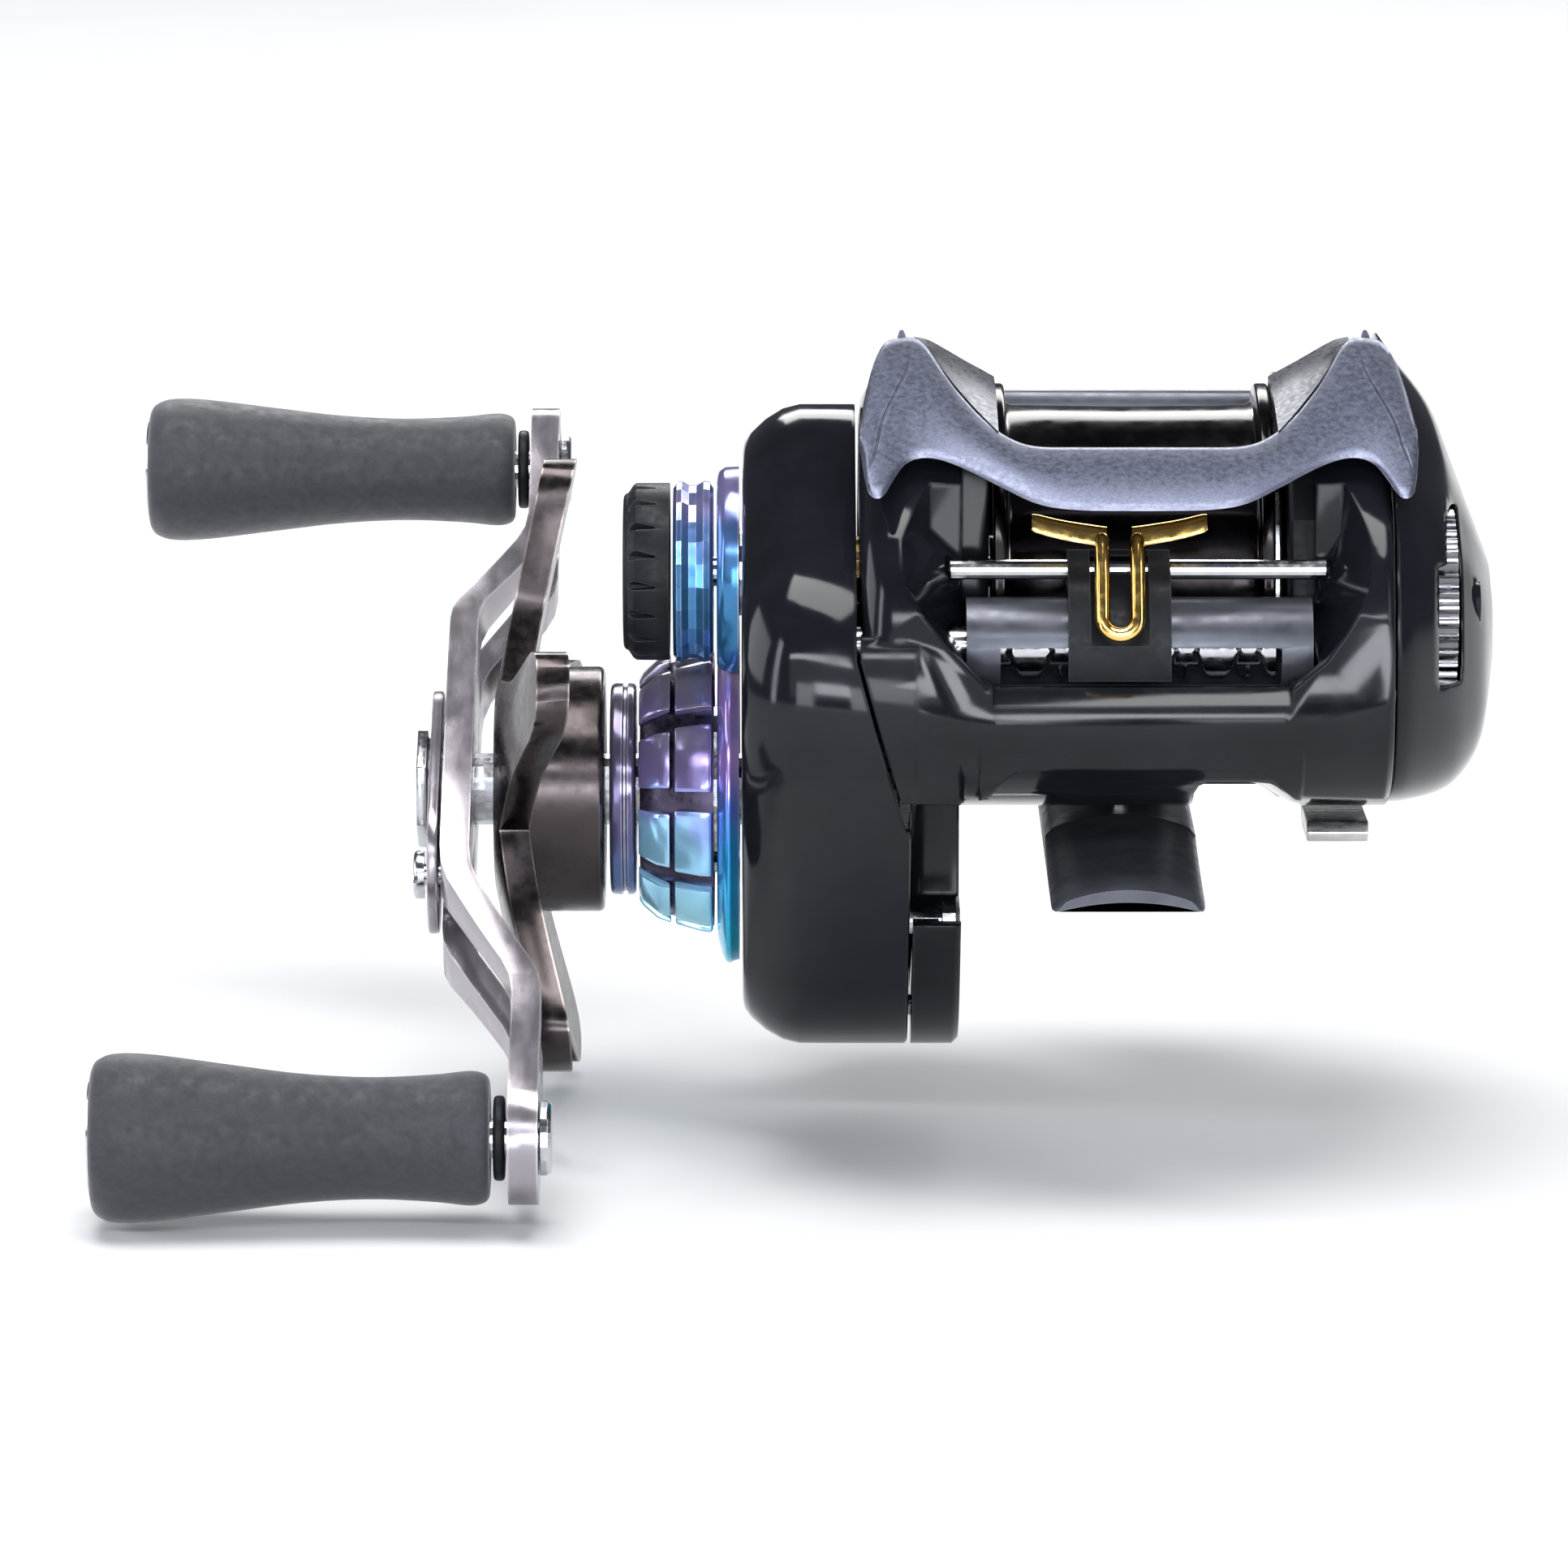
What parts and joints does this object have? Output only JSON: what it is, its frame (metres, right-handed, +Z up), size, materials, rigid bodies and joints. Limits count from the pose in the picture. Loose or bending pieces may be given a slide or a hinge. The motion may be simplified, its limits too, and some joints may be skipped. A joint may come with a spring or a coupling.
{
  "type": "baitcasting reel",
  "caption": "Low-profile baitcasting fishing reel with a twin-grip handle, star drag, level-wind line guide, thumb bar and side covers round a geared spool.",
  "frame": {"origin": "crown of the saddle under the reel foot, at the foot's centre, where the rod's reel seat touches it", "axes": "+X along the spool axis towards the palm side, -Y towards the rod tip and the line guide, +Z up from the rod through the spool"},
  "size_m": [0.1136, 0.0908, 0.0669],
  "materials": {
    "gloss_black": "deep gloss black paint over magnesium",
    "satin_slate": "satin slate-blue metallic paint",
    "satin_black": "satin black anodised aluminium",
    "grip_rubber": "dark charcoal satin foam rubber",
    "gunmetal": "gunmetal anodised aluminium",
    "dark_bronze": "brown-black anodised aluminium",
    "heat_blue": "heat-tinted blue metal",
    "heat_violet": "heat-tinted violet metal",
    "gold": "polished gold-coloured coated wire",
    "steel": "bright machined stainless steel",
    "brass": "machined brass",
    "aluminium": "fine-blasted aluminium",
    "black_plastic": "moulded black plastic",
    "carbon": "woven carbon friction washer"
  },
  "bodies": {
    "reel_body": {"main_frame": "gloss_black", "gear_side_cover": "gloss_black", "palm_side_cover": "gloss_black", "front_hood": "satin_slate", "reel_foot": "satin_black", "worm_guard": "satin_black", "accent_ring": "heat_blue", "cast_seat": "heat_blue", "clutch_cone": "heat_violet", "bearing_collar": "heat_violet", "foot_screw_1": "steel", "foot_screw_2": "steel", "cover_screw_1": "steel", "cover_screw_2": "steel", "cover_screw_3": "steel", "idler_pin": "steel", "anti_reverse_bearing": "steel", "drive_shaft_bearing": "steel", "pinion_bearing": "steel", "spool_bearing_left": "steel", "spool_bearing_right": "steel", "brake_ring": "steel", "guide_rod": "steel", "set_plate": "aluminium", "brake_plate": "black_plastic"},
    "handle": {"handle_arm": "gunmetal", "handle_nut": "gunmetal", "nut_retainer": "gunmetal", "retainer_screw": "steel", "drive_shaft": "steel", "drive_gear": "brass", "levelwind_gear": "brass", "drag_washer": "carbon", "pressure_plate": "steel", "knob_pin_near": "steel", "knob_pin_far": "steel"},
    "star": {"star_drag": "dark_bronze"},
    "knob_near": {"grip_near": "grip_rubber", "grip_cap_near": "gloss_black", "grip_collar_near": "black_plastic"},
    "knob_far": {"grip_far": "grip_rubber", "grip_cap_far": "gloss_black", "grip_collar_far": "black_plastic"},
    "spool_body": {"spool": "dark_bronze", "spool_shaft": "steel", "brake_rotor": "aluminium"},
    "yoke": {"pinion_yoke": "black_plastic"},
    "pinion": {"pinion_gear": "brass"},
    "thumb_bar_body": {"thumb_bar": "satin_black"},
    "idler": {"idler_gear": "black_plastic"},
    "worm": {"worm_shaft": "steel", "worm_cog": "black_plastic"},
    "carriage": {"levelwind_carriage": "black_plastic"},
    "guide": {"line_guide": "gold"},
    "cast_control": {"cast_cap": "black_plastic", "cast_ring": "heat_blue"},
    "brake_dial_body": {"brake_dial": "steel"},
    "release_tab_body": {"release_tab": "aluminium"}
  },
  "joints": [
    {"name": "handle_turn", "type": "hinge", "parent": "reel_body", "child": "handle", "pos_m": [0, 0.005, 0.00184], "axis": [1, 0, 0], "continuous": true},
    {"name": "star_turn", "type": "hinge", "parent": "handle", "child": "star", "pos_m": [0, 0.005, 0.00184], "axis": [1, 0, 0], "range_deg": [-360, 360]},
    {"name": "knob_near_spin", "type": "hinge", "parent": "handle", "child": "knob_near", "pos_m": [0, -0.03412, -0.01827], "axis": [1, 0, 0], "continuous": true},
    {"name": "knob_far_spin", "type": "hinge", "parent": "handle", "child": "knob_far", "pos_m": [0, 0.04412, 0.02194], "axis": [1, 0, 0], "continuous": true},
    {"name": "spool_spin", "type": "hinge", "parent": "reel_body", "child": "spool_body", "pos_m": [0, 0, 0.0212], "axis": [1, 0, 0], "continuous": true},
    {"name": "thumb_press", "type": "slide", "parent": "reel_body", "child": "thumb_bar_body", "axis": [0, 0, -1], "range_m": [0, 0.0035]},
    {"name": "yoke_slide", "type": "slide", "parent": "reel_body", "child": "yoke", "axis": [-1, 0, 0], "range_m": [0, 0.0012]},
    {"name": "pinion_spin", "type": "hinge", "parent": "yoke", "child": "pinion", "pos_m": [0, 0, 0.0212], "axis": [1, 0, 0], "continuous": true},
    {"name": "idler_spin", "type": "hinge", "parent": "reel_body", "child": "idler", "pos_m": [0, -0.00987, 0.00775], "axis": [1, 0, 0], "continuous": true},
    {"name": "worm_spin", "type": "hinge", "parent": "reel_body", "child": "worm", "pos_m": [0, -0.0199, 0.0189], "axis": [1, 0, 0], "continuous": true},
    {"name": "levelwind_travel", "type": "slide", "parent": "reel_body", "child": "carriage", "axis": [1, 0, 0], "range_m": [-0.0074, 0.0108]},
    {"name": "guide_tilt", "type": "hinge", "parent": "carriage", "child": "guide", "pos_m": [0, -0.025, 0.0208], "axis": [-1, 0, 0], "range_deg": [0, 14]},
    {"name": "cast_control_turn", "type": "hinge", "parent": "reel_body", "child": "cast_control", "pos_m": [0, 0, 0.0212], "axis": [1, 0, 0], "range_deg": [-180, 180]},
    {"name": "brake_dial_turn", "type": "hinge", "parent": "reel_body", "child": "brake_dial_body", "pos_m": [0, -0.0104, 0.0203], "axis": [1, 0, 0], "range_deg": [-150, 150]},
    {"name": "release_tab_swing", "type": "hinge", "parent": "reel_body", "child": "release_tab_body", "pos_m": [0, -0.0056, 0.002], "axis": [1, 0, 0], "range_deg": [0, 35]}
  ],
  "couplings": [
    {"joint": "spool_spin", "follows": "handle_turn", "ratio": -7},
    {"joint": "pinion_spin", "follows": "handle_turn", "ratio": -7},
    {"joint": "idler_spin", "follows": "handle_turn", "ratio": -0.6},
    {"joint": "worm_spin", "follows": "handle_turn", "ratio": 1.2},
    {"joint": "yoke_slide", "follows": "thumb_press", "ratio": 0.34},
    {"joint": "guide_tilt", "follows": "thumb_press", "rad_per_m": 69.803}
  ]
}
